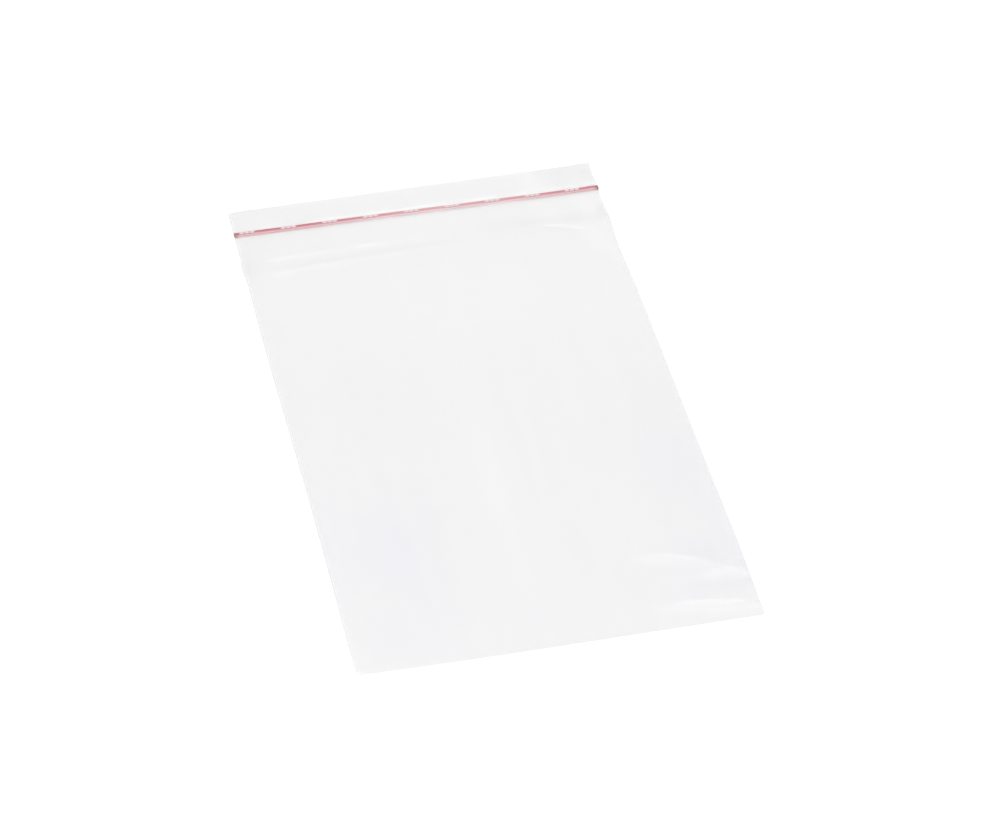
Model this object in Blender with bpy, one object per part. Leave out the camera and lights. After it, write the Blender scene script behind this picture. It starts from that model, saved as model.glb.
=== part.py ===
"""Zipper bag of clear film, lying flat with its zip closed.

Metres, +Z up. X runs across the bag and Y from the bottom fold to the open mouth. The origin is on
the surface that the bag lies on, at the middle of its outline.
"""

import math

import bmesh
import bpy

MM = 0.001

# Outline of the bag
BAG_WIDTH = 120 * MM
USABLE_LENGTH = 180 * MM  # bottom fold to the middle of the zip
LIP_LENGTH = 11.8 * MM  # middle of the zip to the edge of the mouth
HEADER_LENGTH = 16 * MM  # middle of the zip down to the crease under it
BODY_INSET = 0.3 * MM  # how much each side draws in below the crease
FOLD_SKEW = 1.4 * MM  # the fold's end at -X lies this much nearer the zip than its end at +X
MOUTH_SKEW = 1.4 * MM  # the mouth is cut this much longer at +X than at -X
CORNER_RADIUS = 1.4 * MM  # bottom corners, rounded by the side welds

# Film and welds
FILM = 0.05 * MM  # wall of the blown film
WELD_WIDTH = 0.5 * MM  # bead along each side where both walls are melted together
WELD_HEIGHT = 0.16 * MM
FOLD_DEPTH = 0.2 * MM  # film in the bottom fold, outside to inside
SEAM_GAP = 0.03 * MM  # least distance between the walls, at the welds and the fold

# How the bag lies
BODY_AIR = 1.1 * MM  # distance between the walls in the middle of the body
LIP_AIR = 0.6 * MM  # distance between the lips in the middle of the mouth
AIR_RUN = 45 * MM  # length over which the body fills up from the fold
RIDGE_RISE = 4.0  # how steeply a ridge in the front wall rises from the side welds
CREASE_HEIGHT = 0.35 * MM  # soft ridge in the front wall under the header
CREASE_RUN = 3 * MM  # from the ridge's top down to the flat film, on both sides
CREASE_BREAK = 7 * MM  # half of the stretch near the middle where the ridge fades out
FOLD_CORNER_LIFT = 1.0 * MM  # the bottom corner at -X stands this high
FOLD_CORNER_REACH = 40 * MM  # length of its curl, along the diagonal
LIP_CORNER_LIFT = 0.5 * MM  # the lips' corner at +X stands this high
SOFT_FOLD_HEIGHT = 0.5 * MM  # ridges in the front wall near the bottom corner at +X
SOFT_FOLD_HALF = 3.5 * MM  # from a ridge's top down to the flat film
# Each ridge's ends: how far from the side at +X, and how far over the fold
UPPER_SOFT_FOLD = ((26 * MM, 28 * MM), (0.0, 15 * MM))
LOWER_SOFT_FOLD = ((24 * MM, 9 * MM), (0.0, 3 * MM))

# Zip: a rib strip on the front wall that snaps into a groove strip on the back wall
ZIP_WIDTH = 1.5 * MM  # base of each strip, fused to the film
BASE_HEIGHT = 0.12 * MM
GROOVE_WIDTH = 0.8 * MM  # between the two arms, below their hooks
ARM_WIDTH = 0.2 * MM
HOOK_REACH = 0.15 * MM
HOOK_HEIGHT = 0.15 * MM
HOOK_POINT = 0.4  # share of the hook's reach that its slope takes off
HEAD_HEIGHT = 0.25 * MM
HEAD_TAPER = 0.6  # share of the head's height over which it widens
HEAD_POINT = 0.35  # the head's blunt point, over the head's width
SNAP_GAP = 0.06 * MM  # between rib and groove, and between each strip and the film
END_GAP = 0.1 * MM  # between a strip's end and the side weld
ZIP_END_PROUD = 0.4 * MM  # the side weld bulges this far round the zip's ends
TENT_RUN = 3 * MM  # film sloping from the zip's height down to the flat film

# Places that follow from the sizes
FOLD_Y = -(USABLE_LENGTH + LIP_LENGTH + (MOUTH_SKEW - FOLD_SKEW) / 2) / 2
ZIP_Y = FOLD_Y + USABLE_LENGTH
MOUTH_Y = ZIP_Y + LIP_LENGTH
CREASE_Y = ZIP_Y - HEADER_LENGTH
HOOK_GAP = GROOVE_WIDTH - 2 * HOOK_REACH
STEM_WIDTH = HOOK_GAP - 2 * SNAP_GAP
HEAD_WIDTH = GROOVE_WIDTH - 2 * SNAP_GAP
ARM_HEIGHT = 2 * SNAP_GAP + HEAD_HEIGHT + HOOK_HEIGHT
STEM_HEIGHT = HOOK_HEIGHT + 2 * SNAP_GAP
ZIP_HEIGHT = 2 * BASE_HEIGHT + ARM_HEIGHT + SNAP_GAP  # both strips, snapped together
ZIP_ROOM = ZIP_HEIGHT + 2 * SNAP_GAP  # between the walls at the zip
ZIP_ROOM_HALF = ZIP_WIDTH / 2 + SNAP_GAP
LIP_CORNER_REACH = (LIP_LENGTH - ZIP_ROOM_HALF) / math.sqrt(2)  # the lips curl up from the zip

# Fineness of the mesh
COLUMNS = 26  # strips of faces across the film
BODY_ROWS = 38  # rows of faces from the fold to the crease
SLOPE_ROWS = 3  # rows of faces down each slope beside the zip
CORNER_ROW = 0.3  # a row this far up the corner's radius
SAME_POINT = 0.001 * MM  # points closer than this are one

# Colours with their opacity, and how rough each plastic is
FILM_COLOUR = (0.90, 0.91, 0.93, 0.35)
FILM_ROUGHNESS = 0.25
ZIP_COLOUR = (0.72, 0.06, 0.09, 1.0)
ZIP_ROUGHNESS = 0.35


def smooth(t):
    """Eases from 0 to 1."""
    t = min(1.0, max(0.0, t))
    return t * t * (3.0 - 2.0 * t)


def tent(y):
    """How full the film's rise over the zip is: 1 along the zip, 0 past its slopes."""
    return smooth(1.0 - (abs(y - ZIP_Y) - ZIP_ROOM_HALF) / TENT_RUN)


def half_width(y):
    """Half of the outline's width at a height of the bag."""
    body = 1.0 - smooth((y - CREASE_Y) / (2 * CREASE_RUN) + 0.5)
    half = BAG_WIDTH / 2 - BODY_INSET * body + ZIP_END_PROUD * tent(y) ** 2
    up = y - FOLD_Y
    if up < CORNER_RADIUS:
        half -= CORNER_RADIUS - math.sqrt(CORNER_RADIUS**2 - (CORNER_RADIUS - up) ** 2)
    return half


def skewed(x, y):
    """Where a point of the film lies along Y: the fold and the mouth are cut slightly out of square."""
    room_low = ZIP_Y - ZIP_ROOM_HALF
    room_high = ZIP_Y + ZIP_ROOM_HALF
    if y > room_high:
        return y + MOUTH_SKEW * x / BAG_WIDTH * (y - room_high) / (MOUTH_Y - room_high)
    if y < room_low:
        return y - FOLD_SKEW * x / BAG_WIDTH * (room_low - y) / (room_low - FOLD_Y)
    return y


def curl(x, y, corner, reach, height):
    """Height of a corner that bends up along its diagonal, as a flat sheet does."""
    diagonal = (abs(corner[0] - x) + abs(corner[1] - y)) / math.sqrt(2)
    bent = max(0.0, 1.0 - diagonal / reach)
    return height * bent * bent


def lying(x, y):
    """Height of the back wall's underside over the surface that the bag lies on."""
    fold = curl(x, y, (-BAG_WIDTH / 2, FOLD_Y), FOLD_CORNER_REACH, FOLD_CORNER_LIFT)
    lip = curl(x, y, (BAG_WIDTH / 2, MOUTH_Y), LIP_CORNER_REACH, LIP_CORNER_LIFT)
    return fold + lip


def crease(x, y):
    """Height of the ridge under the header, which fades out near the middle."""
    across = smooth((abs(x) - CREASE_BREAK / 2) / (2 * CREASE_BREAK))
    return CREASE_HEIGHT * across * smooth(1.0 - abs(y - CREASE_Y) / CREASE_RUN)


def soft_fold(x, y, ends):
    """Height of a soft ridge that rises from its first end and runs out at the side."""
    from_side, up = BAG_WIDTH / 2 - x, y - FOLD_Y
    (start_x, start_y), (end_x, end_y) = ends
    run_x, run_y = end_x - start_x, end_y - start_y
    length = math.hypot(run_x, run_y)
    along = ((from_side - start_x) * run_x + (up - start_y) * run_y) / length**2
    off = abs((from_side - start_x) * run_y - (up - start_y) * run_x) / length
    return SOFT_FOLD_HEIGHT * smooth(along) * smooth(1.0 - off / SOFT_FOLD_HALF)


def air(x, y):
    """Distance between the walls, over the least one."""
    side = max(0.0, 1.0 - (x / (half_width(y) - WELD_WIDTH)) ** 2)
    if y > ZIP_Y:
        pillow = LIP_AIR * side
    else:
        pillow = BODY_AIR * side * smooth((y - FOLD_Y) / AIR_RUN)
    ridges = crease(x, y) + soft_fold(x, y, UPPER_SOFT_FOLD) + soft_fold(x, y, LOWER_SOFT_FOLD)
    pillow += ridges * min(1.0, RIDGE_RISE * side)
    over_zip = tent(y)
    return ZIP_ROOM * over_zip + pillow * (1.0 - over_zip)


def film_rows():
    """The heights of the bag, from fold to mouth, at which the film gets a row of points."""
    rows = [FOLD_Y, FOLD_Y + CORNER_ROW * CORNER_RADIUS, FOLD_Y + CORNER_RADIUS, MOUTH_Y]
    start = FOLD_Y + CORNER_RADIUS
    end = CREASE_Y - CREASE_RUN
    rows += [start + (end - start) * i / BODY_ROWS for i in range(1, BODY_ROWS)]
    rows += [CREASE_Y + CREASE_RUN * i / 2 for i in range(-2, 3)]
    for side in (-1, 1):
        rows += [ZIP_Y + side * (ZIP_ROOM_HALF + TENT_RUN * i / SLOPE_ROWS) for i in range(SLOPE_ROWS + 1)]
    rows.append((CREASE_Y + CREASE_RUN + ZIP_Y - ZIP_ROOM_HALF - TENT_RUN) / 2)
    rows.append((ZIP_Y + ZIP_ROOM_HALF + TENT_RUN + MOUTH_Y) / 2)
    return sorted(y for y in set(rows) if FOLD_Y <= y <= MOUTH_Y)


def film_ring(bm, y, outside):
    """One ring of points round the film: along the front wall to +X, and along the back to -X."""
    edge = half_width(y) if outside else half_width(y) - WELD_WIDTH
    reach = half_width(y) - WELD_WIDTH
    at = y if outside else max(y, FOLD_Y + FOLD_DEPTH)
    front = []
    back = []
    for i in range(COLUMNS + 1):
        across = 2.0 * i / COLUMNS - 1.0
        on_edge = i in (0, COLUMNS)
        x = math.copysign(edge, across) if on_edge else across * reach
        low = lying(x, y)
        inner_front = low + FILM + SEAM_GAP + air(math.copysign(reach, across) if on_edge else x, y)
        if outside:
            top = max(inner_front + FILM, low + WELD_HEIGHT) if on_edge else inner_front + FILM
            front.append(bm.verts.new((x, skewed(x, at), top)))
            back.append(bm.verts.new((x, skewed(x, at), low)))
        else:
            front.append(bm.verts.new((x, skewed(x, at), inner_front)))
            back.append(bm.verts.new((x, skewed(x, at), low + FILM)))
    return front, back


def skin(bm, rings):
    """Faces along the front and back walls and the two sides, with the fold's end closed."""
    for (front, back), (front_up, back_up) in zip(rings, rings[1:]):
        for i in range(COLUMNS):
            bm.faces.new((front[i], front[i + 1], front_up[i + 1], front_up[i]))
            bm.faces.new((back[i], back_up[i], back_up[i + 1], back[i + 1]))
        bm.faces.new((front[0], front_up[0], back_up[0], back[0]))
        bm.faces.new((front[-1], back[-1], back_up[-1], front_up[-1]))
    front, back = rings[0]
    for i in range(COLUMNS):
        bm.faces.new((front[i], back[i], back[i + 1], front[i + 1]))


def mouth_edge(bm, inner, outer):
    """The cut edge of the film round the mouth, from the inner ring to the outer one."""
    for i in range(COLUMNS):
        bm.faces.new((outer[0][i], outer[0][i + 1], inner[0][i + 1], inner[0][i]))
        bm.faces.new((outer[1][i], inner[1][i], inner[1][i + 1], outer[1][i + 1]))
    bm.faces.new((outer[0][0], inner[0][0], inner[1][0], outer[1][0]))
    bm.faces.new((outer[0][-1], outer[1][-1], inner[1][-1], inner[0][-1]))


def plastic(name, colour, roughness):
    """A plain material with the real one's colour."""
    made = bpy.data.materials.new(name)
    made.use_nodes = True
    shader = made.node_tree.nodes["Principled BSDF"]
    shader.inputs["Base Color"].default_value = (*colour[:3], 1.0)
    shader.inputs["Alpha"].default_value = colour[3]
    shader.inputs["Roughness"].default_value = roughness
    shader.inputs["Metallic"].default_value = 0.0
    made.diffuse_color = colour
    return made


def bag_film(parts, material):
    """The bag itself: one film tube, folded at the bottom, welded down both sides, open at the mouth."""
    bm = bmesh.new()
    rows = film_rows()
    inner = [film_ring(bm, y, outside=False) for y in rows]
    outer = [film_ring(bm, y, outside=True) for y in rows]
    skin(bm, inner)
    bmesh.ops.reverse_faces(bm, faces=bm.faces[:])
    skin(bm, outer)
    mouth_edge(bm, inner[-1], outer[-1])
    bmesh.ops.triangulate(bm, faces=bm.faces[:], quad_method="FIXED")
    bmesh.ops.recalc_face_normals(bm, faces=bm.faces[:])
    mesh = bpy.data.meshes.new("bag_film")
    bm.to_mesh(mesh)
    bm.free()
    mesh.shade_smooth()
    mesh.set_sharp_from_angle(angle=math.radians(40))
    mesh.materials.append(material)
    film = bpy.data.objects.new("bag_film", mesh)
    parts.objects.link(film)
    return film


def rib_outline():
    """Half of the rib strip's section, from the middle of its point up to its base."""
    head = HEAD_WIDTH / 2
    return [
        (0.0, 0.0),
        (HEAD_POINT * head, 0.0),
        (head, HEAD_TAPER * HEAD_HEIGHT),
        (head, HEAD_HEIGHT),
        (STEM_WIDTH / 2, HEAD_HEIGHT),
        (STEM_WIDTH / 2, HEAD_HEIGHT + STEM_HEIGHT),
        (ZIP_WIDTH / 2, HEAD_HEIGHT + STEM_HEIGHT),
        (ZIP_WIDTH / 2, HEAD_HEIGHT + STEM_HEIGHT + BASE_HEIGHT),
    ]


def groove_outline():
    """Half of the groove strip's section, from the middle of the groove's floor to its base."""
    wall = GROOVE_WIDTH / 2
    top = BASE_HEIGHT + ARM_HEIGHT
    return [
        (0.0, BASE_HEIGHT),
        (wall, BASE_HEIGHT),
        (wall, top - HOOK_HEIGHT),
        (wall - HOOK_REACH, top - HOOK_HEIGHT),
        (wall - HOOK_REACH, top - HOOK_HEIGHT / 2),
        (wall - HOOK_POINT * HOOK_REACH, top),
        (wall + ARM_WIDTH / 2, top),
        (wall + ARM_WIDTH, top - ARM_WIDTH / 2),
        (wall + ARM_WIDTH, BASE_HEIGHT),
        (ZIP_WIDTH / 2, BASE_HEIGHT),
        (ZIP_WIDTH / 2, 0.0),
    ]


def zip_strip(parts, name, outline, height, material):
    """An extruded strip along the zip: a flat outline, mirrored about its middle and drawn out along X."""
    length = 2 * (half_width(ZIP_Y) - WELD_WIDTH - END_GAP)
    across = [point for point in outline if point[0] > 0.0]
    points = outline + [(-y, z) for y, z in reversed(across)]
    curve = bpy.data.curves.new(name, "CURVE")
    curve.dimensions = "2D"
    curve.fill_mode = "BOTH"
    curve.extrude = length / 2
    spline = curve.splines.new("POLY")
    spline.points.add(len(points) - 1)
    for slot, (y, z) in zip(spline.points, points):
        slot.co = (y, z, 0.0, 1.0)
    spline.use_cyclic_u = True
    guide = bpy.data.objects.new(name + "_outline", curve)
    parts.objects.link(guide)
    bpy.context.view_layer.update()
    graph = bpy.context.evaluated_depsgraph_get()
    mesh = bpy.data.meshes.new_from_object(guide.evaluated_get(graph))
    bpy.data.objects.remove(guide)
    bm = bmesh.new()
    bm.from_mesh(mesh)
    bmesh.ops.remove_doubles(bm, verts=bm.verts[:], dist=SAME_POINT)
    bm.to_mesh(mesh)
    bm.free()
    mesh.name = name
    mesh.materials.clear()
    mesh.materials.append(material)
    strip = bpy.data.objects.new(name, mesh)
    strip.rotation_euler = (math.pi / 2, 0.0, math.pi / 2)
    strip.location = (0.0, ZIP_Y, height)
    parts.objects.link(strip)
    return strip


def zipper_bag():
    """Clears the scene and makes the bag."""
    for old in list(bpy.data.objects):
        bpy.data.objects.remove(old)
    parts = bpy.data.collections.new("zipper_bag")
    bpy.context.scene.collection.children.link(parts)
    clear = plastic("blown_polyethylene_film", FILM_COLOUR, FILM_ROUGHNESS)
    red = plastic("extruded_red_polyethylene", ZIP_COLOUR, ZIP_ROUGHNESS)
    bag_film(parts, clear)
    groove_low = FILM + SEAM_GAP / 2 + SNAP_GAP
    rib_low = groove_low + BASE_HEIGHT + SNAP_GAP
    zip_strip(parts, "zip_groove_strip", groove_outline(), groove_low, red)
    zip_strip(parts, "zip_rib_strip", rib_outline(), rib_low, red)


zipper_bag()
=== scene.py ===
"""Looks of the clear zipper bag: its blown film, its red zip and the light that it lies in.

Metres, in the frame's own axes: X across the bag, Y from the bottom fold to the mouth, Z up.
"""

import math

import bpy
import numpy as np
from mathutils import Matrix, Vector


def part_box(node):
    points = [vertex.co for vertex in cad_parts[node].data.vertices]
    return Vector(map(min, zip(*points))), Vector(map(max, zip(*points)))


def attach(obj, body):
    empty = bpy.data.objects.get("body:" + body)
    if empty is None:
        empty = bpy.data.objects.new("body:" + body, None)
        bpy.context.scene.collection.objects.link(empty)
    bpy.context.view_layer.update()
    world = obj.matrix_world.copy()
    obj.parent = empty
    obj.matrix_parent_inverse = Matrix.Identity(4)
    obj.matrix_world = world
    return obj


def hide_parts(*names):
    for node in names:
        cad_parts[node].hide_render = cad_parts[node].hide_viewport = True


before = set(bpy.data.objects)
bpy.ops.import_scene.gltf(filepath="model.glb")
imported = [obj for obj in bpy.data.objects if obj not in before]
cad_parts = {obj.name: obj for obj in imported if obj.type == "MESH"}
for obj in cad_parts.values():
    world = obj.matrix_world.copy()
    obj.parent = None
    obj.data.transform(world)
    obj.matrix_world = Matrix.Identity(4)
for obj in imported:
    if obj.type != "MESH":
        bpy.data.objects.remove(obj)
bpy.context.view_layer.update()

MM = 0.001

# Sizes of the bag that the frame's boxes don't give
FILM = 0.05 * MM  # wall of the blown film
WELD_WIDTH = 0.5 * MM
FOLD_DEPTH = 0.2 * MM
SEAM_GAP = 0.03 * MM  # least distance between the walls
CORNER_RADIUS = 1.6 * MM
MOUTH_NIP = 0.6 * MM  # the mouth's corner at -X is cut back this far
NIP_RUN = 3.5 * MM
FOLD_SKEW = 1.4 * MM  # the fold's end at -X lies this much nearer the zip
MOUTH_SKEW = 1.4 * MM  # the mouth is this much longer at +X
HEADER_LENGTH = 16 * MM  # middle of the zip to the crease
ZIP_END_PROUD = 0.4 * MM
TENT_RUN = 1.5 * MM  # film sloping from the zip's height down to the flat film
SNAP_GAP = 0.06 * MM  # between rib and groove, and between each strip and the film

film_low, film_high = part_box("bag_film")
groove_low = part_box("zip_groove_strip")[0]
rib_low, rib_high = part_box("zip_rib_strip")

ZIP_Y = (rib_low.y + rib_high.y) / 2
ZIP_WIDTH = rib_high.y - rib_low.y
ZIP_ROOM_HALF = ZIP_WIDTH / 2 + SNAP_GAP
ZIP_ROOM = rib_high.z - groove_low.z + 2 * SNAP_GAP
HALF_WIDTH = film_high.x - ZIP_END_PROUD
FOLD_Y = film_low.y + FOLD_SKEW / 2
MOUTH_Y = film_high.y - MOUTH_SKEW / 2
CREASE_Y = ZIP_Y - HEADER_LENGTH
AIR_LIMIT = film_high.z - 2 * FILM - SEAM_GAP  # the walls never lie further apart
AIR_LIMIT_POWER = 6  # how suddenly they are held to that

# How the film lies
BODY_AIR = 0.75 * MM
LIP_AIR = 0.5 * MM
LEAST_AIR = 0.25 * MM  # between the walls close to the welds
AIR_RUN = 45 * MM
FOLD_RUN = 6 * MM  # the film is tight at the fold and free from here on
LOOSENING = 5.0  # how fast it gets free going in from the welds
FOLD_CORNER_LIFT = 1.0 * MM
FOLD_CORNER_REACH = 40 * MM
LIP_CORNER_LIFT = 0.5 * MM
LIP_CORNER_REACH = (MOUTH_Y - ZIP_Y - ZIP_ROOM_HALF) / math.sqrt(2)
WAVE_SEED = 7
WAVE_COUNT = 18
WAVE_LENGTHS = (14 * MM, 60 * MM)
WAVE_STEEPNESS = 0.007  # height of a wave over its length
WAVE_TURN = 0.6  # spread of the waves' headings, in radians

# Rounded bead of melted film along each side
BEAD_HEIGHT = 0.13 * MM
BEAD_SWELL = 0.07 * MM
BEAD_DROP = 0.04 * MM
BEAD_UNDERCUT = 0.04 * MM

# Zip
BASE_HEIGHT = 0.12 * MM
GROOVE_WIDTH = 0.8 * MM
ARM_WIDTH = 0.2 * MM
HOOK_REACH = 0.15 * MM
HOOK_HEIGHT = 0.15 * MM
HOOK_TIP = 0.4  # share of the hook's reach that its top keeps
HEAD_HEIGHT = 0.25 * MM
HEAD_POINT = 0.35  # share of the head's width at its point
HEAD_SHOULDER = 0.6  # share of the head's height where it reaches its full width
ROUNDING = 0.05 * MM  # of every corner of the drawn strips
ROUNDING_SHARE = 0.4  # most of a side that one corner may take
ROUNDING_PULL = 0.3  # 0 is a sharp corner, 0.5 a flat cut
END_CRUSH = 0.7  # share of its height that the zip keeps in the side welds
CRUSH_RUN = 2.4 * MM
CRUSH_SPREAD = 0.25  # widening for the share of height lost
ZIP_WANDER = 0.04 * MM  # small ripple along the strips
ZIP_RIPPLES = ((0.6, 9 * MM, 0.0), (0.4, 3.7 * MM, 1.0))  # share, length of a radian, phase
# How far the zip strays toward the mouth, in mm: X, stray
ZIP_STRAY = (
    (-60, 0.2), (-44, 0.06), (-30, 0.2), (-9, 0.2), (4, 0.08), (27, 0.0), (48, 0.06), (55, 0.2),
    (60.4, 0.5),
)
ZIP_STATION = 0.6 * MM
ZIP_END_COVER = 0.1 * MM  # weld left over the zip's end at +X
GRIP_PITCH = 13.4 * MM  # pale grip marks pressed along the rib strip
GRIP_FIRST = -55.8 * MM
GRIP_COUNT = 9
GRIP_BARS = 3
GRIP_BAR_LENGTH = 1.45 * MM
GRIP_BAR_STEP = 1.7 * MM
GRIP_BAR_WIDTH = 0.85 * MM
GRIP_BAR_ACROSS = 0.22 * MM  # middle of the bars, from the middle of the zip
GRIP_BAR_HEIGHT = 0.05 * MM
GRIP_LINE_LENGTH = 5.2 * MM  # narrow mauve line under each group, painted shade along the bars' near edge
GRIP_LINE_WIDTH = 0.22 * MM
GRIP_LINE_ACROSS = -0.32 * MM
GRIP_LINE_HEIGHT = 0.02 * MM
BAR_POINTS = 24
BAR_SQUARENESS = 4  # power of the bars' outline: 2 is an ellipse
BAR_LEVELS = ((1.0, -0.2), (1.0, 0.5), (0.86, 1.0))  # share of the outline, share of the height

# Milkiness that the film gains over the flat film's 1, and the lengths over which it does
WELD_MILK = 4.2
FOLD_MILK = 0.3
FOLD_MILK_RUN = 0.8 * MM
HEADER_MILK = 0.04
HEADER_MILK_START = 1 * MM  # below the crease
HEADER_MILK_RUN = 3 * MM
MOUTH_MILK = 0.8
MOUTH_MILK_RUN = 1.2 * MM

# Finishes
POLYETHYLENE_IOR = 1.51
FILM_HAZE = (0.039, 0.043)  # share of the light that one surface scatters, off and on a die line
DIE_LINE_STEP = 4 * MM
DIE_LINE_LENGTH = 150 * MM
COOL_BLOT = 30 * MM
STRESS_SPECKLE = 0.5 * MM
GRIP_SHADE_GRAIN = 0.3 * MM

# Fineness of the film's mesh
COLUMNS = 104
WELD_COLUMNS = 4
CORNER_STEP = 0.6 * MM
BODY_STEP = 1.8 * MM
CREASE_STEP = 0.45 * MM
TENT_STEP = 0.2 * MM
LIP_STEP = 0.6 * MM
CORNER_ROWS = (0.0, 0.05, 0.15, 0.3, 0.55)  # shares of the corner's radius
CORNER_RIDGES_END = 32 * MM  # the ridges at the bottom corner lie below this, from the fold
CREASE_REACH = 9 * MM  # the creases reach this far below the crease line
SOFT_EDGE = math.radians(50)

# The photograph's camera, found from the bag's four corners and the ends of its zip
PHOTO_WIDTH_PX = 1000
FOCAL_PX = 3031
SENSOR_MM = 36.0
CAMERA_YAW = math.radians(18.39)
CAMERA_ELEVATION = math.radians(47.30)
CAMERA_ROLL = math.radians(-5.34)
CAMERA_DISTANCE = 0.9195
CAMERA_ASIDE = 5.35 * MM  # the middle of the picture lies this far left of the bag's origin
CAMERA_BELOW = 4.2 * MM  # and this far above it
CAMERA_CLIP = (0.01, 20.0)

# Studio
FLOOR_Z = -0.05 * MM
FLOOR_HALF = 3.0
FLOOR_GLOW = 0.44  # what the floor adds to a ray from the camera, so that it shows white
FLOOR_FADE = (0.5, 1.5)  # over this distance the glow rises to white, so that no horizon shows
WORLD_FILL = 0.5
# Name, place, size and watts. The last two stand low across from the camera, for the creases and
# the bottom corner to catch.
SOFTBOXES = (
    ("main_softbox", (-0.9, -0.3, 1.8), 1.0, 16.5),
    ("front_softbox", (0.3, -1.1, 1.0), 0.6, 5.0),
    ("low_softbox", (0.25, 1.0, 0.52), 0.3, 0.35),
    ("corner_softbox", (0.48, 0.9, 0.65), 0.14, 0.10),
)


def linear(hex_colour):
    """sRGB hex to the linear colour, with its alpha, that a shader takes."""
    channels = [int(hex_colour[i:i + 2], 16) / 255 for i in (1, 3, 5)]
    return *(c / 12.92 if c <= 0.04045 else ((c + 0.055) / 1.055) ** 2.4 for c in channels), 1.0


def node(tree, kind, settings=None, links=None):
    """Adds one shader node, sets its properties, input values and stops, and links its inputs."""
    made = tree.nodes.new(kind)
    for name, value in (settings or {}).items():
        if name == "stops":
            colours = made.color_ramp.elements
            while len(colours) < len(value):
                colours.new(0.5)
            for element, (at, colour) in zip(colours, value):
                element.position, element.color = at, linear(colour)
        elif isinstance(name, int) or name in made.inputs:
            made.inputs[name].default_value = value
        else:
            setattr(made, name, value)
    for name, source in (links or {}).items():
        tree.links.new(source, made.inputs[name])
    return made


def material(name):
    """A new material and its empty node tree."""
    made = bpy.data.materials.new(name)
    made.use_nodes = True
    made.node_tree.nodes.clear()
    return made, made.node_tree


def eased(t):
    """Eases from 0 to 1."""
    t = np.clip(t, 0.0, 1.0)
    return t * t * (3.0 - 2.0 * t)


def zip_line(x):
    """How far the zip strays from a straight line."""
    places, strays = np.array(ZIP_STRAY).T * MM
    ripple = sum(share * np.sin(x / run + phase) for share, run, phase in ZIP_RIPPLES)
    return np.interp(x, places, strays) + ZIP_WANDER * ripple


def tent(x, y):
    """How full the film's rise over the zip is."""
    return eased(1.0 - (np.abs(y - ZIP_Y - zip_line(x)) - ZIP_ROOM_HALF) / TENT_RUN)


def crushed(x):
    """Share of its height that the zip has at a place, as the side welds flatten its ends."""
    return 1.0 - (1.0 - END_CRUSH) * eased((np.abs(x) - HALF_WIDTH) / CRUSH_RUN + 1.0)


# How far the hot knife that cut and welded the sides strayed outward, in mm: Y, stray
KNIFE_STRAY = {
    -1: ((-96, 0.3), (-92, 0.4), (-84, 0.38), (-72, 0.15), (-60, 0.0), (-30, -0.2), (0, 0.0),
         (25, 0.2), (45, 0.2), (61, -0.07), (64, 0.0), (69, 0.38), (74, -0.05), (96, -0.08)),
    1: ((-96, -0.6), (-90, -0.45), (-80, -0.25), (-70, -0.02), (-30, -0.1), (0, 0.0), (35, 0.1),
        (50, -0.2), (60, -0.35), (65, -0.05), (69, 0.36), (72, 0.36), (76, 0.08), (81, -0.02),
        (84, 0.36), (90, 0.28), (96, 0.34)),
}


def half_width(y):
    """Half of the outline's width, as the bag was meant to be cut."""
    up = np.clip(y - FOLD_Y, 0.0, CORNER_RADIUS)
    return HALF_WIDTH - CORNER_RADIUS + np.sqrt(CORNER_RADIUS**2 - (CORNER_RADIUS - up) ** 2)


def cut_edge(y, side):
    """How far the outline really reaches on one side."""
    heights, strays = np.array(KNIFE_STRAY[side]).T * MM
    return half_width(y) + np.interp(y, heights, strays)


def skewed(x, y):
    """Where a point lies along Y, as the fold and the mouth are slightly out of square."""
    room_low = ZIP_Y - ZIP_ROOM_HALF
    room_high = ZIP_Y + ZIP_ROOM_HALF
    over = np.clip((y - room_high) / (MOUTH_Y - room_high), 0.0, 1.0)
    under = np.clip((room_low - y) / (room_low - FOLD_Y), 0.0, 1.0)
    nip = MOUTH_NIP * over**2 * np.clip(1.0 - (x + HALF_WIDTH) / NIP_RUN, 0.0, 1.0) ** 1.5
    share = np.clip(x / (2 * HALF_WIDTH), -0.5, 0.5)
    return y + share * (MOUTH_SKEW * over - FOLD_SKEW * under) - nip


def curl(x, y, corner, reach, height):
    """Height of a corner that bends up along its diagonal."""
    diagonal = (np.abs(corner[0] - x) + np.abs(corner[1] - y)) / math.sqrt(2)
    return height * np.clip(1.0 - diagonal / reach, 0.0, 1.0) ** 2


def lying(x, y):
    """Height of the back wall's underside."""
    fold = curl(x, y, (-HALF_WIDTH, FOLD_Y), FOLD_CORNER_REACH, FOLD_CORNER_LIFT)
    lip = curl(x, y, (HALF_WIDTH, MOUTH_Y), LIP_CORNER_REACH, LIP_CORNER_LIFT)
    return fold + lip


# Soft ridges in the front wall, in mm: start, end, half width, height. X is from the middle of the
# bag. Y is from the crease line here, and from the fold for those in the bottom corner at +X.
CREASE_RIDGES = (
    ((-68, 1.4), (8, 2.4), 1.8, 0.22),
    ((-74, -6.2), (-8, -5.6), 2.2, 0.14),
    ((34, 2.4), (52, -2.6), 0.9, 0.17),
)
CORNER_RIDGES = (
    ((24, 28), (54, 19), 2.2, 0.5),
    ((38, 18), (78, 14), 2.3, 0.62),
    ((22, 8.5), (76, 0.8), 2.3, 0.6),
)
# Painted highlights along those corner ridges: lines of less milkiness that lighten the film into
# soft, wide glints.
# As the corner ridges, with the change in milkiness for the height
CORNER_GLINT_LINES = (
    ((24, 28), (56, 19), 1.7, -0.30),
    ((38, 18), (76, 14), 1.8, -0.34),
    ((22, 8.5), (76, 0.8), 2.0, -0.28),
)
RIDGE_FADE = 0.35  # share of a ridge's length over which each end fades out
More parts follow.
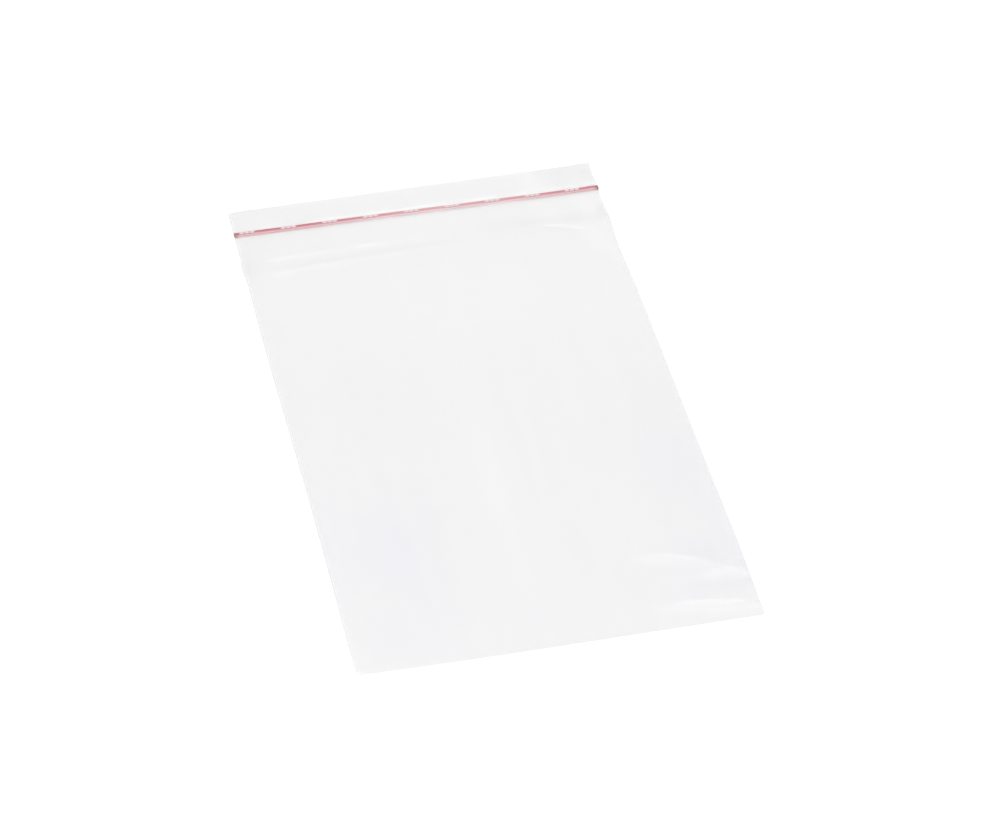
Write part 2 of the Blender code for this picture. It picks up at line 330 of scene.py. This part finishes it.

# Soft patches where the film is milkier, and so darker, or cooler, in mm from the bag's origin:
# middle, half sizes, amount. A minus makes it clearer. The milky patches along the right crease and
# at the creases' ends are painted shade.
MILK_AND_SHADE_PATCHES = (
    ((-34, 4), (20, 24), 0.10),
    ((24, -24), (19, 24), 0.06),
    ((-5, -28), (7, 42), -0.12),
    ((-32, -50), (20, 26), 0.09),
    ((53, -30), (9, 34), 0.09),
    ((10, 45), (52, 24), -0.15),
    ((-2, 84), (34, 11), -0.17),
    ((0, -90), (50, 8), -0.06),
    ((50, -70), (10, 5), 0.20),
    ((52, -83), (11, 3), 0.14),
    ((46, -94), (16, 3), -0.16),
    ((59.4, -76.4), (1.3, 1.5), 0.6),
    ((59.4, -82.2), (1.1, 1.2), 0.5),
    # The next two: painted shade along the right crease and where it meets the side weld at +X
    ((46, 73), (20, 8), 0.08),
    ((59, 74.5), (2.5, 3), 0.35),
    ((52, 93), (14, 6), 0.16),
    # Painted shade where the left crease meets the side weld at -X
    ((-58, 69.5), (2.2, 4.5), 0.35),
    ((-52, 79), (12, 5), 0.08),
)
COOL_PATCHES = (
    ((-44, -54), (26, 32), 1.0),
    ((52, -40), (12, 30), 0.8),
    ((0, -84), (60, 12), 0.5),
    ((50, -70), (14, 8), 0.5),
    ((50, -84), (14, 4), 0.4),
    ((14, -60), (14, 8), 0.4),
)
# Painted shade along the creases: lines of more milkiness that darken the film where the creases'
# slopes lie in shade, and, with a minus, a painted highlight below the left crease. As the crease
# ridges, with that change in milkiness for the height
CREASE_SHADE_AND_SHEEN_LINES = (
    ((-64, -1.0), (22, 1.7), 0.7, 0.20),
    ((-60, -3.2), (0, -1.3), 1.0, -0.10),
    ((14, 6.0), (84, 2.0), 2.4, 0.22),
    ((35.5, 1.9), (49.5, -0.9), 0.6, 0.34),
)


def ridges(x, y, rows, zero):
    """Height of soft ridges that swell up and fade out along their length."""
    height = 0.0
    for start, end, half, top in rows:
        run = (np.array(end) - np.array(start)) * MM
        off_x, off_y = x - start[0] * MM, y - zero - start[1] * MM
        along = (off_x * run[0] + off_y * run[1]) / (run @ run)
        off = (off_x * run[1] - off_y * run[0]) / math.hypot(*run)
        swell = eased(along / RIDGE_FADE) * eased((1.0 - along) / RIDGE_FADE)
        height = height + top * MM * swell * np.exp(-((off / (half * MM)) ** 2))
    return height


def film_waves(x, y):
    """Long shallow waves that blown film keeps from its roll."""
    rng = np.random.default_rng(WAVE_SEED)
    height = np.zeros_like(x + y)
    for _ in range(WAVE_COUNT):
        length = WAVE_LENGTHS[0] * (WAVE_LENGTHS[1] / WAVE_LENGTHS[0]) ** rng.random()
        heading = rng.normal(0.0, WAVE_TURN)
        phase = rng.random() * 2 * math.pi
        turned = x * math.cos(heading) + y * math.sin(heading)
        height += WAVE_STEEPNESS * length * np.sin(2 * math.pi * turned / length + phase)
    return height / math.sqrt(WAVE_COUNT)


def air(x, y):
    """Distance between the walls, over the least one."""
    side = np.clip(1.0 - (x / (half_width(y) - WELD_WIDTH)) ** 2, 0.0, 1.0)
    loose = np.minimum(1.0, LOOSENING * side) * eased((y - FOLD_Y) / FOLD_RUN)
    fill = np.where(y > ZIP_Y, LIP_AIR, BODY_AIR * eased((y - FOLD_Y) / AIR_RUN))
    forms = ridges(x, y, CREASE_RIDGES, CREASE_Y) + ridges(x, y, CORNER_RIDGES, FOLD_Y)
    forms = forms + film_waves(x, y)
    pillow = np.maximum(fill * side + (LEAST_AIR + forms) * loose, 0.0)
    pillow = pillow / (1.0 + (pillow / AIR_LIMIT) ** AIR_LIMIT_POWER) ** (1 / AIR_LIMIT_POWER)
    over_zip = tent(x, y)
    return ZIP_ROOM * crushed(x) * over_zip + pillow * (1.0 - over_zip)


def film_rows():
    """Heights of the bag at which the film has a row of points."""
    tent_half = ZIP_ROOM_HALF + TENT_RUN
    stretches = [
        (FOLD_Y + CORNER_RADIUS, FOLD_Y + CORNER_RIDGES_END, CORNER_STEP),
        (FOLD_Y + CORNER_RIDGES_END, CREASE_Y - CREASE_REACH, BODY_STEP),
        (CREASE_Y - CREASE_REACH, ZIP_Y - tent_half, CREASE_STEP),
        (ZIP_Y - tent_half, ZIP_Y + tent_half, TENT_STEP),
        (ZIP_Y + tent_half, MOUTH_Y, LIP_STEP),
    ]
    rows = [FOLD_Y + CORNER_RADIUS * np.array(CORNER_ROWS)]
    for low, high, step in stretches:
        rows.append(np.linspace(low, high, max(2, round((high - low) / step)), endpoint=False))
    return np.append(np.concatenate(rows), MOUTH_Y)


def film_sheets():
    """The film's surfaces as grids of points: front and back outside, front and back inside."""
    y = film_rows()[:, None]
    start, end = WELD_WIDTH - cut_edge(y, -1), cut_edge(y, 1) - WELD_WIDTH
    x = start + (end - start) * np.linspace(0.0, 1.0, COLUMNS + 1)[None, :]
    low = lying(x, y)
    front = low + FILM + SEAM_GAP + air(x, y)
    inside_y = skewed(x, np.maximum(y, FOLD_Y + FOLD_DEPTH))
    front_inside = np.dstack([x, inside_y, front])
    back_inside = np.dstack([x, inside_y, low + FILM])
    front_outside = np.dstack([x, skewed(x, y), front + FILM])
    back_outside = np.dstack([x, skewed(x, y), low])
    for side in (-1, 1):
        top, under = weld_bead(y, cut_edge(y, side) - WELD_WIDTH, side)
        order = (top, front_outside) if side < 0 else (front_outside, top)
        front_outside = np.concatenate(order, axis=1)
        order = (under, back_outside) if side < 0 else (back_outside, under)
        back_outside = np.concatenate(order, axis=1)
    return front_outside, back_outside, front_inside, back_inside


def weld_bead(y, reach, side):
    """The rounded bead of melted film along one side: grids of its top and its underside."""
    t = np.linspace(0.0, 1.0, WELD_COLUMNS + 1)[None, 1:]
    x = side * (reach + WELD_WIDTH * t)
    low = lying(x, y)
    lifted = air(side * reach * np.ones_like(t), y) * (1.0 - t**3)
    top = low + (BEAD_HEIGHT + BEAD_SWELL * np.sin(math.pi * t) - BEAD_DROP * t**2) + lifted
    under = low + BEAD_UNDERCUT * t**3
    top_grid = np.dstack([x, skewed(x, y), top])
    under_grid = np.dstack([x, skewed(x, y), under])
    if side < 0:
        return top_grid[:, ::-1], under_grid[:, ::-1]
    return top_grid, under_grid


def patches(x, y, rows):
    """Sum of soft round patches."""
    total = 0.0
    for middle, half, amount in rows:
        off_x = (x - middle[0] * MM) / (half[0] * MM)
        off_y = (y - middle[1] * MM) / (half[1] * MM)
        total = total + amount * np.exp(-(off_x**2) - off_y**2)
    return total


def film_gauge(front):
    """How milky the film is at each outside point, with 1 for the flat film, including painted
    shade and highlights.
    """
    x, y = front[:, :, 0], film_rows()[:, None]
    weld = np.zeros_like(x)
    weld[:, :WELD_COLUMNS] = weld[:, -WELD_COLUMNS:] = 1.0
    fold = eased(1.0 - (y - FOLD_Y) / FOLD_MILK_RUN)
    header = eased((y - CREASE_Y + HEADER_MILK_START) / HEADER_MILK_RUN)
    mouth = eased(1.0 - (MOUTH_Y - y) / MOUTH_MILK_RUN)
    # Painted shade along the creases and painted highlights along the bottom corner's ridges,
    # carried as milkiness
    lines = ridges(x, y, CREASE_SHADE_AND_SHEEN_LINES, CREASE_Y) + ridges(x, y, CORNER_GLINT_LINES, FOLD_Y)
    painted_shade_and_milk = lines / MM + patches(x, y, MILK_AND_SHADE_PATCHES)
    milk = 1.0 + WELD_MILK * weld + FOLD_MILK * fold
    return milk + HEADER_MILK * header + MOUTH_MILK * mouth + painted_shade_and_milk


def mesh_object(name, points, faces, finish):
    """A smooth mesh object with its finish."""
    mesh = bpy.data.meshes.new(name)
    mesh.from_pydata(points.tolist(), [], faces)
    mesh.update()
    mesh.shade_smooth()
    mesh.set_sharp_from_angle(angle=SOFT_EDGE)
    mesh.materials.append(finish)
    made = bpy.data.objects.new(name, mesh)
    bpy.context.scene.collection.objects.link(made)
    return made


def point_values(mesh, name, values):
    """Keeps one number for each point of a mesh, for its material."""
    layer = mesh.attributes.new(name, "FLOAT", "POINT")
    layer.data.foreach_set("value", np.ascontiguousarray(values, dtype=np.float32))


def clear_film_bag(finish):
    """The film as one closed skin: folded at the bottom, welded at the sides, open at the mouth."""
    sheets = film_sheets()
    grids = []
    count = 0
    for sheet in sheets:
        grids.append(count + np.arange(sheet.shape[0] * sheet.shape[1]).reshape(sheet.shape[:2]))
        count += grids[-1].size
    front, back, front_in, back_in = grids
    faces = []
    for grid, flip in ((front, False), (back, True), (front_in, True), (back_in, False)):
        corners = [grid[:-1, :-1], grid[:-1, 1:], grid[1:, 1:], grid[1:, :-1]]
        if flip:
            corners.reverse()
        faces += np.stack([corner.ravel() for corner in corners], axis=1).tolist()

    def join(upper, under):
        for i in range(len(upper) - 1):
            faces.append([int(v) for v in (upper[i], upper[i + 1], under[i + 1], under[i])])

    join(front[:, 0], back[:, 0])
    join(back[:, -1], front[:, -1])
    join(back_in[:, 0], front_in[:, 0])
    join(front_in[:, -1], back_in[:, -1])
    join(back[0], front[0])
    join(front_in[0], back_in[0])
    inner = slice(WELD_COLUMNS, WELD_COLUMNS + COLUMNS + 1)
    join(front_in[-1][::-1], front[-1][inner][::-1])
    join(back[-1][inner][::-1], back_in[-1][::-1])
    before, after = WELD_COLUMNS, WELD_COLUMNS + COLUMNS
    join(front[-1][:before], back[-1][:before])
    join(front[-1][after + 1:], back[-1][after + 1:])
    top, low = front[-1], back[-1]
    near = [top[before - 1], top[before], front_in[-1][0]]
    near += [back_in[-1][0], low[before], low[before - 1]]
    far = [low[after + 1], low[after], back_in[-1][-1]]
    far += [front_in[-1][-1], top[after], top[after + 1]]
    faces.append([int(v) for v in near])
    faces.append([int(v) for v in far])
    points = np.concatenate([sheet.reshape(-1, 3) for sheet in sheets])
    film = mesh_object("clear_film_bag", points, faces, finish)
    milk_and_shade = film_gauge(sheets[0])
    cool = patches(sheets[0][:, :, 0], film_rows()[:, None], COOL_PATCHES)
    for name, grid in (("film_gauge", milk_and_shade), ("film_coolness", cool)):
        inside = grid[:, inner].ravel()
        point_values(film.data, name, np.concatenate([grid.ravel(), grid.ravel(), inside, inside]))
    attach(film, "root")
    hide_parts("bag_film")


def rib_section():
    """Half of the rib strip's section, from its point up to its base: across, up."""
    head = GROOVE_WIDTH / 2 - SNAP_GAP
    stem = head - HOOK_REACH
    under = HEAD_HEIGHT + HOOK_HEIGHT + 2 * SNAP_GAP
    return [(HEAD_POINT * head, 0.0), (head, HEAD_SHOULDER * HEAD_HEIGHT), (head, HEAD_HEIGHT),
            (stem, HEAD_HEIGHT), (stem, under), (ZIP_WIDTH / 2, under),
            (ZIP_WIDTH / 2, under + BASE_HEIGHT)]


def groove_section():
    """Half of the groove strip's section, from its floor round its arm to its base: across, up."""
    wall = GROOVE_WIDTH / 2
    top = BASE_HEIGHT + 2 * SNAP_GAP + HEAD_HEIGHT + HOOK_HEIGHT
    return [(wall, BASE_HEIGHT), (wall, top - HOOK_HEIGHT), (wall - HOOK_REACH, top - HOOK_HEIGHT),
            (wall - HOOK_REACH, top - HOOK_HEIGHT / 2), (wall - HOOK_TIP * HOOK_REACH, top),
            (wall + ARM_WIDTH / 2, top), (wall + ARM_WIDTH, top - ARM_WIDTH / 2),
            (wall + ARM_WIDTH, BASE_HEIGHT), (ZIP_WIDTH / 2, BASE_HEIGHT), (ZIP_WIDTH / 2, 0.0)]


def rounded(outline):
    """Cuts each corner of a closed outline into a small curve."""
    points = []
    for i, corner in enumerate(outline):
        here = np.array(corner)
        for neighbour in (outline[i - 1], outline[(i + 1) % len(outline)]):
            away = np.array(neighbour) - here
            length = math.hypot(*away)
            points.append(here + away / length * min(ROUNDING, ROUNDING_SHARE * length))
        before, after = points[-2:]
        points.insert(-1, here + (before - here) * ROUNDING_PULL + (after - here) * ROUNDING_PULL)
    return np.array(points)


def zip_height(x, over):
    """Height of a place in the zip, flattened in the side welds."""
    return groove_low.z + (over - groove_low.z) * crushed(x)


def drawn_strip(name, half_section, base, finish):
    """One strip of the zip, drawn out along X, with its ends melted into the side welds."""
    mirrored = [(-across, up) for across, up in reversed(half_section)]
    section = rounded(half_section + mirrored)
    start, end = film_low.x + ZIP_END_PROUD + ZIP_END_COVER, film_high.x - ZIP_END_COVER
    x = np.linspace(start, end, round((end - start) / ZIP_STATION) + 1)[:, None]
    across = section[None, :, 0] * (1.0 + CRUSH_SPREAD * (1.0 - crushed(x)))
    y = ZIP_Y + across + zip_line(x)
    z = zip_height(x, base + section[None, :, 1])
    points = np.dstack([np.broadcast_to(x, z.shape), y, z]).reshape(-1, 3)
    sides = len(section)
    ring = np.arange(sides)
    faces = []
    for i in range(len(x) - 1):
        low, high = i * sides + ring, (i + 1) * sides + ring
        faces += np.stack([low, np.roll(low, -1), np.roll(high, -1), high], axis=1).tolist()
    faces.append(ring[::-1].tolist())
    faces.append(((len(x) - 1) * sides + ring).tolist())
    strip = mesh_object(name, points, faces, finish)
    place = np.broadcast_to(section[None, :, 0] / ZIP_WIDTH + 0.5, (len(x), sides))
    point_values(strip.data, "across_zip", place.ravel())
    return strip


def raised_bars(name, middles, size, across, finish):
    """Low bars with round corners on top of the rib strip. The size is length, width and height."""
    points = []
    faces = []
    length, width, height = size
    for middle in middles:
        loop = []
        for turn in np.linspace(0.0, 2 * math.pi, BAR_POINTS, endpoint=False):
            way_x, way_y = math.cos(turn), math.sin(turn)
            spread = abs(way_x) ** BAR_SQUARENESS + abs(way_y) ** BAR_SQUARENESS
            bulge = spread ** (-1 / BAR_SQUARENESS)
            loop.append((way_x * bulge * length / 2, way_y * bulge * width / 2))
        start = len(points)
        for share, up in BAR_LEVELS:
            for dx, dy in loop:
                x = middle + dx * share
                y = ZIP_Y + across + dy * share + zip_line(x)
                points.append((x, y, zip_height(x, rib_high.z) + up * height))
        top = start + (len(BAR_LEVELS) - 1) * BAR_POINTS
        for ring in range(start, top, BAR_POINTS):
            for i in range(BAR_POINTS):
                a, b = ring + i, ring + (i + 1) % BAR_POINTS
                faces.append([a, b, b + BAR_POINTS, a + BAR_POINTS])
        faces.append([top + i for i in range(BAR_POINTS)])
        faces.append([start + i for i in reversed(range(BAR_POINTS))])
    return mesh_object(name, np.array(points), faces, finish)


def grip_marks(pale, mauve):
    """Groups of pale grip bars, each with a narrow mauve line of painted shade along its near side.
    """
    groups = [GRIP_FIRST + group * GRIP_PITCH for group in range(GRIP_COUNT)]
    steps = [(bar - (GRIP_BARS - 1) / 2) * GRIP_BAR_STEP for bar in range(GRIP_BARS)]
    bars = [group + step for group in groups for step in steps]
    bar_size = (GRIP_BAR_LENGTH, GRIP_BAR_WIDTH, GRIP_BAR_HEIGHT)
    line_size = (GRIP_LINE_LENGTH, GRIP_LINE_WIDTH, GRIP_LINE_HEIGHT)
    return [raised_bars("zip_grip_marks", bars, bar_size, GRIP_BAR_ACROSS, pale),
            raised_bars("zip_grip_lines", groups, line_size, GRIP_LINE_ACROSS, mauve)]


def red_zip(red, pale, mauve):
    """Both strips and the grip marks on them."""
    groove = drawn_strip("zip_groove_strip_drawn", groove_section(), groove_low.z, red)
    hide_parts("zip_groove_strip")
    rib = drawn_strip("zip_rib_strip_drawn", rib_section(), rib_low.z, red)
    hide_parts("zip_rib_strip")
    for piece in [groove, rib] + grip_marks(pale, mauve):
        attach(piece, "root")


def blown_polyethylene_film():
    """Low-density polyethylene, blown and laid flat: clear, with a milky haze and a soft gloss.

    The die leaves faint lines. Real ones lie closer together, and are drawn wider apart to show.
    """
    made, tree = material("blown_polyethylene_film")
    place = node(tree, "ShaderNodeTexCoord").outputs["Object"]
    milk_and_shade = node(tree, "ShaderNodeAttribute", {"attribute_name": "film_gauge"})
    cool = node(tree, "ShaderNodeAttribute", {"attribute_name": "film_coolness"})
    drawn_out = node(tree, "ShaderNodeMapping",
                     {"Scale": (1 / DIE_LINE_STEP, 1 / DIE_LINE_LENGTH, 1.0)}, {"Vector": place})
    die_lines = node(tree, "ShaderNodeTexNoise", {"Scale": 1.0, "Detail": 2.0},
                     {"Vector": drawn_out.outputs[0]})
    cloud = node(tree, "ShaderNodeTexNoise", {"Scale": 1 / COOL_BLOT, "Detail": 2.0},
                 {"Vector": place})
    blot = node(tree, "ShaderNodeMapRange", {"From Min": 0.3, "From Max": 0.55},
                {"Value": cloud.outputs["Fac"]})
    tint = node(tree, "ShaderNodeMath", {"operation": "MULTIPLY"},
                {0: cool.outputs["Fac"], 1: blot.outputs[0]})
    colour = node(tree, "ShaderNodeMix",
                  {"data_type": "RGBA", 6: linear("#E6E6E6"), 7: linear("#D8D8EF")},
                  {0: tint.outputs[0]})
    lines = {"From Min": 0.3, "From Max": 0.7, "To Min": FILM_HAZE[0], "To Max": FILM_HAZE[1]}
    wall_haze = node(tree, "ShaderNodeMapRange", lines, {"Value": die_lines.outputs["Fac"]})
    # The milk share also carries the painted shade of the creases and the painted highlights of the
    # bottom corner
    haze = node(tree, "ShaderNodeMath", {"operation": "MULTIPLY"},
                {0: wall_haze.outputs[0], 1: milk_and_shade.outputs["Fac"]})
    milk = node(tree, "ShaderNodeBsdfPrincipled", {"Roughness": 0.45, "IOR": POLYETHYLENE_IOR},
                {"Base Color": colour.outputs[2]})
    clear = node(tree, "ShaderNodeBsdfTransparent")
    body = node(tree, "ShaderNodeMixShader", None,
                {0: haze.outputs[0], 1: clear.outputs[0], 2: milk.outputs[0]})
    # The gloss is 0.04 seen head on and rises steeply toward a grazing view, as off any plastic.
    facing = node(tree, "ShaderNodeLayerWeight", {"Blend": 0.5})
    grazing = node(tree, "ShaderNodeMath", {"operation": "POWER", 1: 5.0},
                   {0: facing.outputs["Facing"]})
    gloss_share = node(tree, "ShaderNodeMath", {"operation": "MULTIPLY_ADD", 1: 0.9, 2: 0.04},
                       {0: grazing.outputs[0]})
    gloss = node(tree, "ShaderNodeBsdfGlossy", {"Roughness": 0.2, "Color": linear("#FFFFFF")})
    film = node(tree, "ShaderNodeMixShader", None,
                {0: gloss_share.outputs[0], 1: body.outputs[0], 2: gloss.outputs[0]})
    node(tree, "ShaderNodeOutputMaterial", None, {"Surface": film.outputs[0]})
    return made


def extruded_red_polyethylene():
    """Red polyethylene drawn out through a die: the arms show through its low base as two lines.

    The red is deeper toward the ends and paler over the middle, from about -10 to +45 mm, where a
    painted sheen stands in for the gloss that the strip reflects there; it is darkest where the
    ends are melted into the side welds. The side toward the fold is painted pale, a painted
    highlight where that side lies in shade.
    """
    made, tree = material("extruded_red_polyethylene")
    place = node(tree, "ShaderNodeTexCoord")
    across = node(tree, "ShaderNodeAttribute", {"attribute_name": "across_zip"}).outputs["Fac"]
    # Across the zip, from the side toward the fold (0): that side is painted pale, a painted
    # highlight where it lies in shade; the arms are the darker red
    deep = node(tree, "ShaderNodeValToRGB", {"stops": (
        (0.0, "#FBE2E5"), (0.1, "#ECB4BC"), (0.3, "#E08592"), (0.45, "#CE5C6B"), (0.62, "#C65060"),
        (0.8, "#C44457"), (0.92, "#CE6C79"), (1.0, "#DC98A1"))}, {0: across})
    sheened_red = node(tree, "ShaderNodeValToRGB", {"stops": (
        (0.0, "#FFF6F7"), (0.1, "#F6D8DC"), (0.3, "#E29FA8"), (0.45, "#E29CA5"), (0.62, "#E7A6AD"),
        (0.8, "#E5A0A8"), (0.92, "#DE959D"), (1.0, "#E0A6AD"))}, {0: across})
    split = node(tree, "ShaderNodeSeparateXYZ", None, {0: place.outputs["Object"]})
    along = node(tree, "ShaderNodeMapRange", {"From Min": -60 * MM, "From Max": 60 * MM},
                 {"Value": split.outputs["X"]}).outputs[0]
    # Along the zip: white where a painted sheen pales the red, black where the red is deep
    dye_and_sheen = node(tree, "ShaderNodeValToRGB", {"stops": (
        (0.0, "#000000"), (0.2, "#303030"), (0.42, "#D0D0D0"), (0.55, "#FFFFFF"),
        (0.78, "#D0D0D0"), (0.93, "#707070"), (1.0, "#000000"))}, {0: along})
    colour = node(tree, "ShaderNodeMix", {"data_type": "RGBA"},
                  {0: dye_and_sheen.outputs[0], 6: deep.outputs[0], 7: sheened_red.outputs[0]})
    ends = node(tree, "ShaderNodeValToRGB", {"stops": (
        (0.0, "#FFFFFF"), (0.008, "#B0B0B0"), (0.014, "#000000"), (0.986, "#000000"),
        (0.994, "#707070"), (1.0, "#FFFFFF"))}, {0: along})
    melted = node(tree, "ShaderNodeMix", {"data_type": "RGBA", 7: linear("#8C2A48")},
                  {0: ends.outputs[0], 6: colour.outputs[2]})
    shader = node(tree, "ShaderNodeBsdfPrincipled", {"Roughness": 0.35, "IOR": POLYETHYLENE_IOR},
                  {"Base Color": melted.outputs[2]})
    node(tree, "ShaderNodeOutputMaterial", None, {"Surface": shader.outputs[0]})
    return made


def speckled(name, grain, colours, roughness, ior):
    """A material whose two colours mix in fine speckles."""
    made, tree = material(name)
    place = node(tree, "ShaderNodeTexCoord")
    speckle = node(tree, "ShaderNodeTexNoise", {"Scale": 1 / grain, "Detail": 2.0},
                   {"Vector": place.outputs["Object"]})
    shade = node(tree, "ShaderNodeMix",
                 {"data_type": "RGBA", 6: linear(colours[0]), 7: linear(colours[1])},
                 {0: speckle.outputs["Fac"]})
    shader = node(tree, "ShaderNodeBsdfPrincipled", {"Roughness": roughness, "IOR": ior},
                  {"Base Color": shade.outputs[2]})
    node(tree, "ShaderNodeOutputMaterial", None, {"Surface": shader.outputs[0]})
    return made


def whitened_polyethylene():
    """The same plastic where a press has stretched it, which leaves it pale and matt.

    The real speckle is too fine to show, and is drawn coarser.
    """
    return speckled("whitened_polyethylene", STRESS_SPECKLE, ("#FDE8EC", "#F4CFD6"), 0.6,
                    POLYETHYLENE_IOR)


def mauve_grip_shade():
    """Mauve painted shade along the near edge of each group of grip bars, in speckles of two
    mauves.

    The speckle is drawn coarse enough to show.
    """
    return speckled("mauve_grip_shade", GRIP_SHADE_GRAIN, ("#8E5A6C", "#A87482"), 0.5, 1.5)


def softbox(name, place, size, watts):
    """A square soft lamp aimed at the bag."""
    light = bpy.data.lights.new(name, "AREA")
    light.size = size
    light.energy = watts
    lamp = bpy.data.objects.new(name, light)
    lamp.location = place
    lamp.rotation_mode = "QUATERNION"
    lamp.rotation_quaternion = (-Vector(place)).to_track_quat("-Z", "Y")
    bpy.context.scene.collection.objects.link(lamp)


def seen_rays(tree):
    """1 for rays from the camera, off gloss or through glass, and 0 for rays that light things."""
    rays = node(tree, "ShaderNodeLightPath")
    seen = node(tree, "ShaderNodeMath", {"operation": "MAXIMUM"},
                {0: rays.outputs["Is Camera Ray"], 1: rays.outputs["Is Glossy Ray"]})
    return node(tree, "ShaderNodeMath", {"operation": "MAXIMUM"},
                {0: seen.outputs[0], 1: rays.outputs["Is Transmission Ray"]}).outputs[0]


def studio():
    """A white paper floor that keeps the bag's shadow, a white surround and the soft lamps."""
    made, tree = material("white_studio_paper")
    paper = node(tree, "ShaderNodeBsdfDiffuse", {"Color": linear("#D8D8D8")})
    place = node(tree, "ShaderNodeTexCoord")
    away = node(tree, "ShaderNodeVectorMath", {"operation": "LENGTH"}, {0: place.outputs["Object"]})
    fade_start, fade_end = FLOOR_FADE
    fade = {"From Min": fade_start, "From Max": fade_end, "To Min": FLOOR_GLOW, "To Max": 1.0}
    level = node(tree, "ShaderNodeMapRange", fade, {"Value": away.outputs["Value"]})
    strength = node(tree, "ShaderNodeMath", {"operation": "MULTIPLY"},
                    {0: seen_rays(tree), 1: level.outputs[0]})
    glow = node(tree, "ShaderNodeEmission", {"Color": linear("#FFFFFF")},
                {"Strength": strength.outputs[0]})
    both = node(tree, "ShaderNodeAddShader", None, {0: paper.outputs[0], 1: glow.outputs[0]})
    node(tree, "ShaderNodeOutputMaterial", None, {"Surface": both.outputs[0]})
    corners = [(-1, -1), (1, -1), (1, 1), (-1, 1)]
    points = np.array([(FLOOR_HALF * x, FLOOR_HALF * y, FLOOR_Z) for x, y in corners])
    mesh_object("studio_floor", points, [[0, 1, 2, 3]], made)

    world = bpy.data.worlds.new("white_surround")
    bpy.context.scene.world = world
    world.use_nodes = True
    sky = world.node_tree
    sky.nodes.clear()
    level = node(sky, "ShaderNodeMapRange", {"To Min": WORLD_FILL, "To Max": 1.0},
                 {"Value": seen_rays(sky)})
    surround = node(sky, "ShaderNodeBackground", {"Color": linear("#FFFFFF")},
                    {"Strength": level.outputs[0]})
    node(sky, "ShaderNodeOutputWorld", None, {"Surface": surround.outputs[0]})

    for name, stand, size, watts in SOFTBOXES:
        softbox(name, stand, size, watts)


def photo_camera():
    """The camera at the photograph's angle, distance and focal length."""
    ahead = Vector((math.sin(CAMERA_YAW) * math.cos(CAMERA_ELEVATION),
                    math.cos(CAMERA_YAW) * math.cos(CAMERA_ELEVATION), -math.sin(CAMERA_ELEVATION)))
    level_right = Vector((math.cos(CAMERA_YAW), -math.sin(CAMERA_YAW), 0.0))
    level_up = level_right.cross(ahead)
    right = level_right * math.cos(CAMERA_ROLL) - level_up * math.sin(CAMERA_ROLL)
    up = level_right * math.sin(CAMERA_ROLL) + level_up * math.cos(CAMERA_ROLL)
    place = right * CAMERA_ASIDE - up * CAMERA_BELOW - ahead * CAMERA_DISTANCE
    data = bpy.data.cameras.new("photo_camera")
    data.sensor_width = SENSOR_MM
    data.lens = FOCAL_PX * SENSOR_MM / PHOTO_WIDTH_PX
    data.clip_start, data.clip_end = CAMERA_CLIP
    camera = bpy.data.objects.new("photo_camera", data)
    turn = Matrix((right, up, -ahead)).transposed()
    camera.matrix_world = Matrix.Translation(place) @ turn.to_4x4()
    bpy.context.scene.collection.objects.link(camera)
    bpy.context.scene.camera = camera


photo_camera()
clear_film_bag(blown_polyethylene_film())
red_zip(extruded_red_polyethylene(), whitened_polyethylene(), mauve_grip_shade())
studio()
bpy.context.scene.view_settings.view_transform = "Standard"
